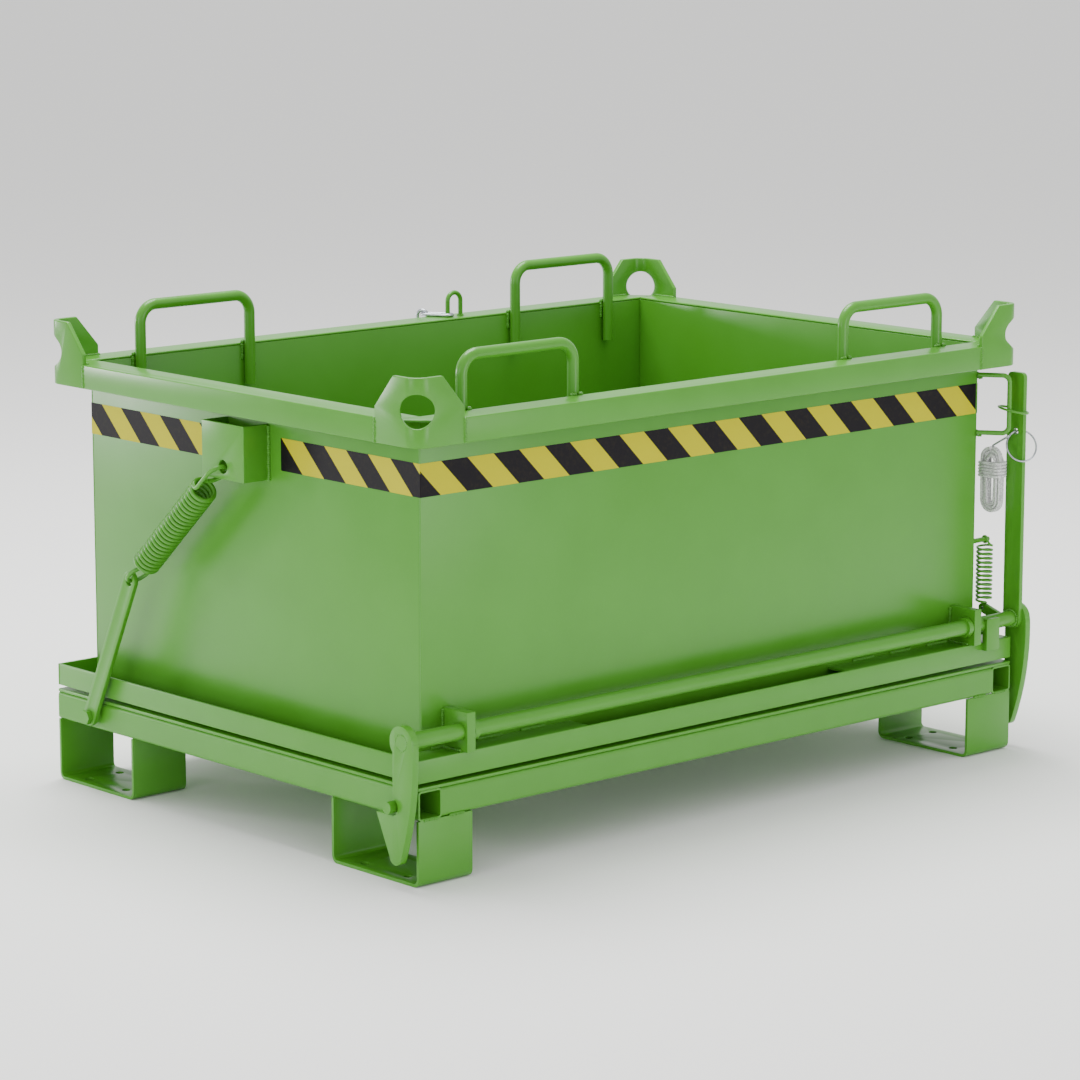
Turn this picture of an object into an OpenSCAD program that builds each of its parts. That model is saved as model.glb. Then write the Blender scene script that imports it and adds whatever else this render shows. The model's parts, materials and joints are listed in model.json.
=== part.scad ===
// Bottom-discharge lifting container: open steel box on a hinged floor flap with feet,
// latch shaft, release lever and closing springs.
// Origin at the centre of the footprint on the floor, +X along the long side,
// +Y towards the hinge (back), +Z up. Millimetres.

/* [Body] */
// Outside length of the box, along X
body_l = 1206; // [900:2:1800]
// Outside width of the box, along Y
body_w = 806; // [600:2:1200]
// Height of the walls above the underside of the base frame
wall_h = 530; // [350:5:900]
// Sheet thickness of the walls
wall_t = 3; // [2:0.5:5]

/* [Rim] */
// How far the rim stands out from the walls
rim_out = 48; // [30:1:80]
// Height of the rim's outer lip
rim_drop = 38; // [25:1:80]
// Plate thickness of the rim
rim_t = 4; // [3:0.5:6]

/* [Lifting lugs] */
// Width of each wing of a lug at the rim
lug_w = 93; // [70:1:140]
// Width of each wing at the top edge
lug_top_w = 52; // [30:1:80]
// Height of a lug above the rim
lug_rise = 64; // [45:1:120]
// Lug plate thickness
lug_t = 8; // [6:1:15]
// Outside bend radius of a lug
lug_bend = 25; // [16:1:40]
// Diameter of the lifting hole, drilled along the corner's diagonal
lug_hole = 50; // [30:1:60]

/* [Stacking handles] */
// Bar diameter of the handles
bar_d = 18; // [14:1:25]
// Distance from a body end to the first handle leg
handle_inset = 90; // [60:5:200]
// Distance between the two legs, centre to centre
handle_w = 221; // [150:1:350]
// Height of a handle above the rim
handle_rise = 89; // [60:1:140]
// How far the legs reach down inside the wall
handle_drop = 68; // [40:1:150]
// Bend radius of the bar's centre line
handle_bend = 30; // [22:1:50]

/* [Base frame] */
// How far the base frame stands out from the walls
frame_out = 45; // [35:1:60]
// Height of the frame angle's outer leg
frame_leg = 35; // [25:1:60]
// Thickness of the frame angle
frame_t = 4; // [3:0.5:6]
// Length of the plate that closes the gutter at the left end of the front
strip_l = 295; // [100:5:500]
// Length of the same plate at the right end
strip_r = 348; // [100:5:500]

/* [Floor flap] */
// Clearance between the closed floor and the base frame
floor_gap = 6; // [2:1:12]
// Thickness of the floor plate
floor_t = 5; // [3:0.5:8]
// Height of the flap's box tubes
tube_h = 45; // [30:1:60]
// Wall thickness of the box tubes
tube_t = 3; // [2:0.5:5]
// Distance of the two hidden cross tubes from the middle
cross_x = 200; // [100:10:400]
// Opening angle of the flap, degrees
flap_angle = 85; // [60:1:90]

/* [Feet] */
// Height of the feet, the clearance for forks
foot_h = 100; // [80:1:120]
// Width of a foot along X
foot_w = 104; // [80:1:160]
// Length of a foot along Y
foot_l = 200; // [150:5:300]
// Plate thickness of a foot
foot_t = 5; // [4:0.5:8]
// Diameter of the four fixing holes in a foot
foot_hole = 14; // [9:1:20]

/* [Latch] */
// Diameter of the latch shaft
shaft_d = 25; // [20:1:35]
// Distance of the shaft in front of the front wall
shaft_out = 38; // [30:1:60]
// Height of the shaft above the top of the base frame
shaft_rise = 30; // [20:1:60]
// Thickness of the hook plates
hook_t = 12; // [8:1:20]
// Distance of the hooks' inner faces from the end walls
hook_x = 60; // [55:1:80]
// Diameter of the pins that the hooks hold
pin_d = 18; // [14:1:25]
// Distance of the bearing plates from the body ends
bearing_inset = 41; // [20:1:200]
// Thickness of the bearing plates
bearing_t = 16; // [8:1:25]
// Running clearance on the radius
clear = 0.05; // [0.01:0.01:0.1]

/* [Release lever] */
// Height of the lever's top above the shaft
lever_l = 413; // [250:1:600]
// Width of the lever bar
lever_w = 35; // [25:1:60]
// Thickness of the lever bar
lever_t = 8; // [5:1:12]
// Height of the pull ring's hole above the shaft
lever_hole_h = 315; // [150:1:500]

/* [Closing springs] */
// Height of the spring hole below the rim's top
anchor_drop = 118; // [80:1:300]
// Distance from the hole in the bracket to the hole in the arm
spring_l = 310; // [260:1:420]
// Outside diameter of the coil
coil_d = 44; // [30:1:60]
// Wire diameter
coil_wire = 7; // [4:0.5:9]
// Pitch of the coil
coil_pitch = 9.1; // [7:0.1:14]
// Lean of the spring from vertical, degrees
spring_lean = 47.9; // [20:0.1:60]
// Distance of the arm's bolt in front of the flap hinge
arm_back = 114; // [60:1:200]

/* [Hidden] */
$fn = 64;
eps = 0.02;
hx = body_l / 2;
hy = body_w / 2;
tube_z = foot_h;
floor_z = tube_z + tube_h;
frame_z = floor_z + floor_t + floor_gap;
gutter_z = frame_z + frame_leg;
rim_z = frame_z + wall_h;
fx = hx + frame_out;
fy = hy + frame_out;
ox = hx + rim_out;
oy = hy + rim_out;
// hinge of the floor flap, behind the frame
hinge_r = 10;
hinge_y = fy + hinge_r + 1;
hinge_z = frame_z - floor_gap / 2;
hinge_x = 300;
leaf_w = 100;
leaf_t = 4;
// latch
shaft_y = -hy - shaft_out;
shaft_z = gutter_z + shaft_rise;
shaft_r = shaft_d / 2;
head_r = 25;
pin_y = -hy - 17;
pin_z = tube_z + tube_h / 2;
lever_x = hx + hook_x - lever_t;
// springs: bracket hole, arm joint, bolt
bracket_out = 48.5;
bracket_w = 103;
bracket_t = 5;
anchor_z = rim_z - anchor_drop;
spring_x = hx + 51;
joint_y = spring_l * sin(spring_lean);
joint_z = anchor_z - spring_l * cos(spring_lean);
bolt_y = hinge_y - arm_back;
bolt_z = tube_z + tube_h / 2;
arm_l = norm([bolt_y - joint_y, joint_z - bolt_z]);
arm_lean = atan2(bolt_y - joint_y, joint_z - bolt_z);
arm_x = hx + 52;
arm_t = 8;
arm_w = 30;
loop_r = (coil_d - coil_wire) / 2;
plate_off = spring_x - (hx + bracket_out - bracket_t / 2);
arm_off = spring_x - (arm_x + arm_t / 2);
top_c = sqrt(loop_r * loop_r - plate_off * plate_off);
low_c = spring_l - sqrt(loop_r * loop_r - arm_off * arm_off);
coil_0 = top_c + loop_r + coil_wire / 2 + 13.2;
coil_1 = low_c - loop_r - coil_wire / 2 - 1;
turns = round((coil_1 - coil_0 - coil_wire) / coil_pitch);
step = (coil_1 - coil_0 - coil_wire) / turns;
// tape
tape_z = rim_z - 119;
tape_h = 50;
tape_t = 0.4;
tape_gap = 29.5;
// guide bracket, lock ring, pull ring
guide_d = 8;
guide_a = 31;
guide_b = 43;
guide_z0 = shaft_z + 314;
guide_z1 = shaft_z + 410;
lock_z = shaft_z + 351;
lock_wire = 4;
lock_r = 24.6;
lock_tilt = 12;
lock_x = hx + hook_x - 13;
eye_start = 37.6;
// the rim's corners are clipped back past the eye's wall, so a pin seats in it
eye_clip = sqrt(2) * (lug_hole / 2 + lug_t * sqrt(2) + 1) - 2 * lug_t;
hole_z = shaft_z + lever_hole_h;
ring_wire = 3;
ring_r = 26;
ring_lean = -22.6;
ring_turn = -25;
hank = [28, 52, 111];
hank_c = [hx + 36, -hy - 4.5, hole_z - 83];
// return spring
ret_x = hx + 32;
ret_y = -hy + 5;
ret_z0 = shaft_z + 14;
ret_z1 = shaft_z + 130;
ret_d = 29;
ret_wire = 3.2;
ret_pitch = 6.8;
ret_loop = 6.5;
// chain eye on the back rim
eye_x = 181;
eye_y = hy + 22;
eye_r = 14.5;
chain_wire = 6;
chain_r = 9;
chain_s = 26;
chain_dir = 60;
chain_z = rim_z + chain_wire / 2 + 0.1;

green = [0.40, 0.62, 0.33];
zinc = [0.75, 0.76, 0.78];
white = [0.9, 0.9, 0.9];
black = [0.08, 0.08, 0.09];

// ---------- helpers ----------
function unit(v) = v / norm(v);

module mx() { mirror([1, 0, 0]) children(); }
module my() { mirror([0, 1, 0]) children(); }

// box from two corners
module slab(a, b) { translate(a) cube(b - a); }

// rounded rectangle, corner at the origin
module rounded(w, h, r) {
  translate([r, 0]) square([w - 2 * r, h]);
  translate([0, r]) square([w, h - 2 * r]);
  for (x = [r, w - r], y = [r, h - r]) translate([x, y]) circle(r);
}

// quarter of a bent plate, outer corner at the origin, bend towards +X and +Y
module bend(r, t) {
  intersection() {
    translate([r, r]) difference() { circle(r); circle(r - t); }
    square([r, r]);
  }
}

// closed link of round bar in the XY plane, straights along X
module link(r, s, wire) {
  for (k = [0, 180]) rotate(k) {
    translate([s / 2, 0, 0]) rotate(-90) rotate_extrude(angle = 180) translate([r, 0]) circle(d = wire);
    translate([-s / 2, r, 0]) rotate([0, 90, 0]) cylinder(d = wire, h = s);
  }
}

// quarter bend of round bar from +X to +Y around the origin
module elbow(r, wire) { rotate_extrude(angle = 90) translate([r, 0]) circle(d = wire); }

module torus(r, wire) { rotate_extrude() translate([r, 0]) circle(d = wire); }

// plain body of a coil along +Z: grooved sleeve, z from 0 to (n * step) + wire
module coil(r, wire, pitch, n) {
  rotate_extrude() {
    for (i = [0:n]) translate([r, wire / 2 + i * pitch]) circle(d = wire);
    translate([r - 0.8, wire / 2]) square([1.6, n * pitch]);
  }
}

// ---------- box ----------
module wall_front() { color(green) slab([-hx, -hy, frame_z], [hx, -hy + wall_t, rim_z - rim_t]); }
module wall_back() { my() wall_front(); }
module wall_left() {
  color(green) slab([-hx, -hy + wall_t, frame_z], [-hx + wall_t, hy - wall_t, rim_z - rim_t]);
}
module wall_right() { mx() wall_left(); }

// flat top of the rim with clipped corners inside the lugs
module rim_front() {
  xl = ox - lug_w;
  xi = ox - lug_t;
  yi = -oy + lug_t;
  c = eye_clip;
  yw = -hy + wall_t;
  color(green) {
    translate([0, 0, rim_z - rim_t]) linear_extrude(rim_t)
      polygon([[-xl, -oy], [xl, -oy], [xl, yi], [xi - c, yi], [xi, yi + c], [xi, yw],
        [-xi, yw], [-xi, yi + c], [c - xi, yi], [-xl, yi]]);
    slab([-xl, -oy, rim_z - rim_drop], [xl, -oy + rim_t, rim_z - rim_t]);
  }
}
module rim_back() { my() rim_front(); }
module rim_left() {
  yl = oy - lug_w;
  xi = -ox + lug_t;
  yw = hy - wall_t;
  color(green) {
    translate([0, 0, rim_z - rim_t]) linear_extrude(rim_t)
      polygon([[-ox, -yl], [xi, -yl], [xi, -yw], [-hx + wall_t, -yw], [-hx + wall_t, yw],
        [xi, yw], [xi, yl], [-ox, yl]]);
    slab([-ox, -yl, rim_z - rim_drop], [-ox + rim_t, yl, rim_z - rim_t]);
  }
}
module rim_right() { mx() rim_left(); }

// bent corner plate, outer corner at the origin, wings along +X and +Y
module lug() {
  h = rim_drop + lug_rise;
  shoulder = rim_drop + 16;
  color(green) difference() {
    linear_extrude(h) {
      translate([lug_bend, 0]) square([lug_w - lug_bend, lug_t]);
      translate([0, lug_bend]) square([lug_t, lug_w - lug_bend]);
      bend(lug_bend, lug_t);
    }
    translate([0, lug_w, 0]) rotate([90, 0, 0]) linear_extrude(lug_w - lug_t - 1)
      polygon([[lug_w, shoulder], [lug_w + 9, shoulder], [lug_w + 9, h + 1], [lug_top_w, h + 1], [lug_top_w, h]]);
    translate([0, lug_t + 1, 0]) rotate([90, 0, 0]) linear_extrude(lug_t + 9)
      polygon([[lug_w, shoulder], [lug_w + 9, shoulder], [lug_w + 9, h + 1], [lug_top_w, h + 1], [lug_top_w, h]]);
    rotate([90, 0, 90]) linear_extrude(lug_t + 9, center = true)
      polygon([[lug_w, shoulder], [lug_w + 9, shoulder], [lug_w + 9, h + 1], [lug_top_w, h + 1], [lug_top_w, h]]);
    translate([0, 0, rim_drop + 15]) rotate([0, 90, 45]) rotate(eye_start)
      cylinder(d = lug_hole, h = 2 * lug_w, center = true);
  }
}
module place_lug(x, y, a) { translate([x, y, rim_z - rim_drop]) rotate(a) lug(); }
module lug_front_left() { place_lug(-ox, -oy, 0); }
module lug_front_right() { place_lug(ox, -oy, 90); }
module lug_back_right() { place_lug(ox, oy, 180); }
module lug_back_left() { place_lug(-ox, oy, 270); }

// bent round bar on the inside of the front wall, left end
module handle_front_left() {
  r = handle_bend;
  top = rim_z + handle_rise - bar_d / 2;
  low = rim_z - handle_drop;
  color(green) translate([-hx + handle_inset, -hy + wall_t + bar_d / 2, 0]) {
    for (x = [0, handle_w]) translate([x, 0, low]) cylinder(d = bar_d, h = top - r - low);
    translate([r, 0, top]) rotate([0, 90, 0]) cylinder(d = bar_d, h = handle_w - 2 * r);
    translate([handle_w - r, 0, top - r]) rotate([90, 0, 0]) elbow(r, bar_d);
    translate([r, 0, top - r]) rotate([90, 0, 180]) elbow(r, bar_d);
  }
}
module handle_front_right() { mx() handle_front_left(); }
module handle_back_left() { my() handle_front_left(); }
module handle_back_right() { mx() handle_back_left(); }

// ---------- base frame ----------
module frame_front() {
  color(green) {
    slab([-fx, -fy, frame_z], [fx, -fy + frame_t, gutter_z]);
    slab([-hx, -fy + frame_t, frame_z], [hx, -hy, frame_z + frame_t]);
  }
}
module frame_back() { my() frame_front(); }
module frame_left() {
  y = fy - frame_t;
  color(green) {
    slab([-fx, -y, frame_z], [-fx + frame_t, y, gutter_z]);
    slab([-fx + frame_t, -y, frame_z], [-hx, y, frame_z + frame_t]);
  }
}
module frame_right() { mx() frame_left(); }
module gutter_plates() {
  color(green) {
    slab([-fx + frame_t, -fy + frame_t, gutter_z - 5], [-hx + strip_l, -hy, gutter_z]);
    slab([hx - strip_r, -fy + frame_t, gutter_z - 5], [fx - frame_t, -hy, gutter_z]);
  }
}

// ---------- brackets on the walls ----------
module bracket_left() {
  z0 = anchor_z - 19;
  z1 = anchor_z + 67;
  w = bracket_w / 2;
  color(green) difference() {
    slab([-hx - bracket_out, -w, z0], [-hx, w, z1]);
    slab([-hx - bracket_out + bracket_t, -w + bracket_t, z0 - 1], [-hx + 1, w - bracket_t, z1 + 1]);
    translate([-hx - bracket_out, 0, anchor_z]) rotate([0, 90, 0]) cylinder(d = 21, h = 30, center = true);
  }
}
module bracket_right() { mx() bracket_left(); }
module bearing_plate(x) {
  color(green) difference() {
    slab([x, shaft_y - 17, gutter_z], [x + bearing_t, -hy, shaft_z + 30]);
    translate([x, shaft_y, shaft_z]) rotate([0, 90, 0])
      cylinder(r = shaft_r + clear, h = 3 * bearing_t, center = true);
  }
}
module bearing_plates() {
  bearing_plate(-hx + bearing_inset);
  bearing_plate(hx - bearing_inset - bearing_t);
}
module tape_front_back() {
  for (s = [0, 1]) mirror([0, s, 0]) color(black)
    slab([-hx, -hy - tape_t, tape_z], [hx - 4, -hy, tape_z + tape_h]);
}
module tape_sides() {
  b = bracket_w / 2;
  for (s = [0, 1]) mirror([s, 0, 0]) color(black) {
    slab([-hx - tape_t, b + 1, tape_z], [-hx, hy, tape_z + tape_h]);
    slab([-hx - tape_t, -hy, tape_z], [-hx, -b - tape_gap, tape_z + tape_h]);
  }
}

// bent bar on the front right corner that guides the lever, standing out diagonally
module lever_guide() {
  len = norm([guide_a, guide_b]);
  r = 12;
  h = guide_z1 - guide_z0;
  color(green) translate([hx, -hy, guide_z0]) rotate(-atan2(guide_b, guide_a)) {
    for (z = [0, h]) translate([0, 0, z]) rotate([0, 90, 0]) cylinder(d = guide_d, h = len - r);
    translate([len, 0, r]) cylinder(d = guide_d, h = h - 2 * r);
    translate([len - r, 0, h - r]) rotate([90, 0, 0]) elbow(r, guide_d);
    translate([len - r, 0, r]) rotate([-90, 0, 0]) elbow(r, guide_d);
  }
}
module chain_eye() {
  h = 26;
  color(green) translate([eye_x, eye_y, rim_z]) {
    for (x = [-eye_r, eye_r]) translate([x, 0, 0]) cylinder(d = guide_d, h = h);
    translate([0, 0, h]) rotate([90, 0, 0]) rotate_extrude(angle = 180) translate([eye_r, 0]) circle(d = guide_d);
  }
}

// ---------- flap hinge ----------
module hinge_knuckle(x, w) {
  difference() {
    translate([x, hinge_y, hinge_z]) rotate([0, 90, 0]) cylinder(r = hinge_r, h = w);
    translate([x - 1, hinge_y, hinge_z]) rotate([0, 90, 0]) cylinder(r = 6 + clear, h = w + 2);
  }
}
module hinge_frame() {
  k = leaf_w / 2;
  color(green) for (c = [-hinge_x, hinge_x]) {
    slab([c - k, fy, hinge_z + 8], [c + k, fy + leaf_t, gutter_z - 4]);
    for (s = [-1, 1]) difference() {
      union() {
        slab([c + s * 30 - 10, fy + leaf_t, hinge_z + 4], [c + s * 30 + 10, hinge_y + 2, hinge_z + 14]);
        hinge_knuckle(c + s * 30 - 19.5, 39);
      }
      translate([c + s * 30 - 30, hinge_y, hinge_z]) rotate([0, 90, 0]) cylinder(r = 6 + clear, h = 60);
    }
    translate([c - k - 3, hinge_y, hinge_z]) rotate([0, 90, 0]) cylinder(r = 6, h = 2 * k + 6);
  }
}
module hinge_flap() {
  k = leaf_w / 2;
  color(green) for (c = [-hinge_x, hinge_x]) {
    slab([c - k, fy, tube_z + 6], [c + k, fy + leaf_t, floor_z]);
    difference() {
      union() {
        slab([c - 10, fy + leaf_t, floor_z - 14], [c + 10, hinge_y + 2, floor_z]);
        hinge_knuckle(c - 10, 20);
      }
      translate([c - 20, hinge_y, hinge_z]) rotate([0, 90, 0]) cylinder(r = 6 + clear, h = 40);
    }
  }
}

// ---------- floor flap ----------
module floor_plate() { color(green) slab([-fx, -fy, floor_z], [fx, fy, floor_z + floor_t]); }

// square tube along +Z, corner at the origin, first side w, second side h
module box_tube(w, h, len) {
  linear_extrude(len) difference() {
    rounded(w, h, 6);
    translate([tube_t, tube_t]) rounded(w - 2 * tube_t, h - 2 * tube_t, 3);
  }
}
module tube_left() {
  color(green) translate([-fx, fy, tube_z]) rotate([90, 0, 0]) box_tube(frame_out, tube_h, 2 * fy);
}
module tube_right() { mx() tube_left(); }
module tube_front() {
  color(green) translate([-hx, -fy, tube_z]) rotate([90, 0, 90]) box_tube(frame_out, tube_h, body_l);
}
module tube_back() { my() tube_front(); }
module tube_cross() {
  color(green) for (x = [-cross_x, cross_x])
    translate([x - 20, hy, tube_z]) rotate([90, 0, 0]) box_tube(40, tube_h, body_w);
}
module foot_front_left() {
  r = 12;
  color(green) translate([-fx, -fy, 0]) difference() {
    rotate([90, 0, 90]) linear_extrude(foot_w) {
      translate([0, r]) square([foot_t, foot_h - r]);
      translate([foot_l - foot_t, r]) square([foot_t, foot_h - r]);
      translate([r, 0]) square([foot_l - 2 * r, foot_t]);
      bend(r, foot_t);
      translate([foot_l, 0]) mirror([1, 0]) bend(r, foot_t);
    }
    for (x = [22, foot_w - 22], y = [50, foot_l - 50])
      translate([x, y, -1]) cylinder(d = foot_hole, h = foot_t + 2);
  }
}
module foot_front_right() { mx() foot_front_left(); }
module foot_back_left() { my() foot_front_left(); }
module foot_back_right() { mx() foot_back_left(); }
module latch_pins() {
  for (s = [0, 1]) mirror([s, 0, 0]) color(green)
    translate([-hx - hook_x - hook_t - 10, pin_y, pin_z]) rotate([0, 90, 0])
      cylinder(d = pin_d, h = hook_x + hook_t + 10 - frame_out);
}
// spacer, shank and hexagon head that carry each spring arm
module arm_bolts() {
  for (s = [0, 1]) mirror([s, 0, 0]) color(green) translate([-fx, bolt_y, bolt_z]) rotate([0, -90, 0]) {
    cylinder(d = 24, h = arm_x - fx - 0.5);
    translate([0, 0, arm_x - fx - 0.5]) cylinder(d = 12, h = arm_t + 1);
    translate([0, 0, arm_x - fx + arm_t + 0.5]) rotate(30) cylinder(d = 24, h = 8, $fn = 6);
  }
}

// ---------- latch ----------
module latch_shaft() {
  l = hx + hook_x + hook_t;
  color(green) {
    translate([-l, shaft_y, shaft_z]) rotate([0, 90, 0]) cylinder(r = shaft_r, h = 2 * l);
    for (x = [-hx + bearing_inset + bearing_t + 1, hx - bearing_inset - bearing_t - 11])
      translate([x, shaft_y, shaft_z]) rotate([0, 90, 0]) difference() {
        cylinder(d = shaft_d + 8, h = 10);
        translate([0, 0, -1]) cylinder(r = shaft_r, h = 12);
      }
  }
}

// hook outline in Y and Z about the shaft
module hook_shape() {
  r = 450;
  ny = pin_y - shaft_y;
  nz = pin_z - shaft_z;
  tip_z = nz - 74;
  difference() {
    union() {
      circle(head_r);
      polygon(concat([for (z = [0:-13:tip_z]) [r - head_r - 1 - sqrt(r * r - (z + 20) * (z + 20)) , z]],
        [[2.5, tip_z - 5], [26, tip_z - 3], [ny + 35, nz - 13], [ny - 2, nz - 13], [ny - 2, 0]]));
      translate([14, tip_z]) circle(12.5);
    }
    translate([ny, nz]) circle(13);
    translate([ny, nz - 13]) square([60, 26]);
    circle(shaft_r + clear);
  }
}
module hook_left() {
  color(green) translate([-hx - hook_x - hook_t, shaft_y, shaft_z]) rotate([90, 0, 90])
    linear_extrude(hook_t) hook_shape();
}
module hook_right() { mx() hook_left(); }
module lever() {
  w = lever_w / 2;
  color(green) translate([lever_x, shaft_y, shaft_z]) rotate([90, 0, 90]) linear_extrude(lever_t) difference() {
    union() {
      circle(w);
      translate([-w, 0]) square([lever_w, lever_l - 8]);
      translate([-w + 8, 0]) square([lever_w - 16, lever_l]);
      for (x = [-w + 8, w - 8]) translate([x, lever_l - 8]) circle(8);
    }
    circle(shaft_r + clear);
    translate([shaft_y + hy + 36.5, lever_hole_h]) circle(d = 11);
  }
}
// stop tab in front of the frame and the small arm that the return spring pulls
module latch_tabs() {
  a = atan2(ret_z0 - shaft_z, ret_y - shaft_y);
  l = norm([ret_z0 - shaft_z, ret_y - shaft_y]);
  color(green) {
    difference() {
      slab([hx - 26, -fy - 10, gutter_z - 13], [hx + 5, -fy, shaft_z + 10]);
      translate([hx, shaft_y, shaft_z]) rotate([0, 90, 0]) cylinder(r = shaft_r + clear, h = 90, center = true);
    }
    translate([ret_x - 4, shaft_y, shaft_z]) rotate([90, 0, 90]) linear_extrude(8) rotate(a) difference() {
      union() {
        translate([0, -8]) square([l, 16]);
        translate([l, 0]) circle(8);
      }
      circle(shaft_r + clear);
      translate([l, 0]) circle(3.4);
    }
  }
}

// ---------- return spring ----------
module return_post() {
  color(green) {
    translate([hx, ret_y, ret_z1]) rotate([0, 90, 0]) cylinder(d = 8, h = ret_x - hx + 8);
    translate([ret_x, ret_y, ret_z1]) rotate([0, 90, 0]) torus(4 + ret_wire / 2 - 0.1, ret_wire);
  }
}
module return_coil() {
  z0 = ret_z0 + 8.5;
  h = ret_z1 - 4 - ret_wire - 0.3 - z0 - ret_wire;
  r = (ret_d - ret_wire) / 2;
  n = floor(h / ret_pitch);
  color(green) translate([ret_x, ret_y, z0]) {
    coil(r, ret_wire, h / n, n);
    for (z = [0, h]) translate([0, 0, z + ret_wire / 2]) rotate([90, 0, 0])
      cylinder(d = ret_wire, h = 2 * r, center = true);
  }
}

// ---------- closing springs ----------
// local frame of the left spring: origin in the bracket hole, -Z towards the arm
module spring_frame() {
  translate([-spring_x, 0, anchor_z]) rotate([spring_lean, 0, 0]) children();
}
module spring_left() {
  color(green) spring_frame() {
    translate([0, 0, -top_c]) rotate([90, 0, 0]) torus(loop_r, coil_wire);
    translate([-loop_r, 0, -coil_0]) cylinder(d = coil_wire, h = coil_0 - top_c);
    translate([0, 0, -coil_1]) coil(loop_r, coil_wire, step, turns);
  }
}
module spring_right() { mx() spring_left(); }
module spring_tail_left() {
  color(green) spring_frame() {
    translate([0, 0, -low_c]) rotate([90, 0, 0]) torus(loop_r, coil_wire);
    translate([loop_r, 0, -low_c]) cylinder(d = coil_wire, h = low_c - coil_1);
  }
}
module spring_tail_right() { mx() spring_tail_left(); }
module arm_left() {
  color(green) translate([-arm_x, bolt_y, bolt_z]) rotate([arm_lean, 0, 0]) rotate([90, 0, -90])
    linear_extrude(arm_t) difference() {
      union() {
        circle(d = arm_w);
        translate([-arm_w / 2, 0]) square([arm_w, arm_l]);
        translate([0, arm_l]) circle(d = arm_w);
      }
      circle(r = 6 + clear);
      translate([0, arm_l]) circle(d = 16);
    }
}
module arm_right() { mx() arm_left(); }

// ---------- loose pieces ----------
module lock_ring() {
  color(green) translate([lock_x, shaft_y, lock_z]) rotate(lock_tilt, [0.67, 0.74, 0]) torus(lock_r, lock_wire);
}

module pull_ring() {
  c = [lever_x + lever_t / 2, -hy - 49.5, hole_z - 24];
  top = hank_c + [0, 0, hank[2] / 2 + 1];
  p = c + [-13.5, 14, 17.3];
  l = unit(top - p);
  n = unit(cross(l, [1, 0, 0.25]));
  m = cross(n, l);
  color(zinc) {
    translate(c) rotate([ring_lean, 0, 0]) rotate([0, 0, ring_turn]) rotate([90, 0, 0]) torus(ring_r, ring_wire);
    multmatrix([[l[0], m[0], n[0], (p + top)[0] / 2], [l[1], m[1], n[1], (p + top)[1] / 2],
      [l[2], m[2], n[2], (p + top)[2] / 2], [0, 0, 0, 1]]) link(5, norm(top - p) - 12, 3);
  }
}
module rope_hank() {
  w = hank[1] / 2;
  s = hank[2] / 2 - w;
  color(white) translate(hank_c) rotate([90, 0, 90]) linear_extrude(hank[0], center = true) {
    translate([-w, -s]) square([2 * w, 2 * s]);
    for (z = [-s, s]) translate([0, z]) circle(w);
  }
}
// first link lies on the rim round the eye's left leg, the next ones hang behind the rim
module chain() {
  long = chain_s + 10;
  reach = long / 2 + 1;
  far = reach + long / 2 + chain_r;
  pitch = chain_s + 2 * chain_r - chain_wire - 0.4;
  color(zinc) translate([eye_x - eye_r, eye_y, chain_z]) rotate(180 - chain_dir) {
    translate([reach, 0, 0]) link(chain_r, long, chain_wire);
    for (i = [0:2]) translate([far + 0.1, 0, chain_wire + 0.2 - chain_s / 2 - chain_r - i * pitch]) rotate([90, 0, 90 * (i % 2)])
      rotate(90) link(chain_r, chain_s, chain_wire);
  }
}

wall_front();
wall_back();
wall_left();
wall_right();
rim_front();
rim_back();
rim_left();
rim_right();
lug_front_left();
lug_front_right();
lug_back_right();
lug_back_left();
handle_front_left();
handle_front_right();
handle_back_left();
handle_back_right();
frame_front();
frame_back();
frame_left();
frame_right();
gutter_plates();
bracket_left();
bracket_right();
bearing_plates();
tape_front_back();
tape_sides();
lever_guide();
chain_eye();
return_post();
return_coil();
hinge_frame();
floor_plate();
tube_left();
tube_right();
tube_front();
tube_back();
tube_cross();
foot_front_left();
foot_front_right();
foot_back_left();
foot_back_right();
latch_pins();
arm_bolts();
hinge_flap();
latch_shaft();
hook_left();
hook_right();
lever();
latch_tabs();
arm_left();
arm_right();
spring_left();
spring_right();
spring_tail_left();
spring_tail_right();
lock_ring();
pull_ring();
rope_hank();
chain();
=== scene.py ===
"""Looks of a bottom-discharge lifting container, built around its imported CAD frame.

The steel box stands on a hinged floor flap with feet. A latch shaft with two hooks holds
the flap shut, a lever on the right end turns it, and a coil spring at each end closes the
flap again. Lengths are metres unless a name ends in _MM.
"""

import json
import logging
import math
import random
from dataclasses import dataclass, field
from enum import Enum
from typing import ClassVar

import bpy
from mathutils import Matrix, Vector

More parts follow.
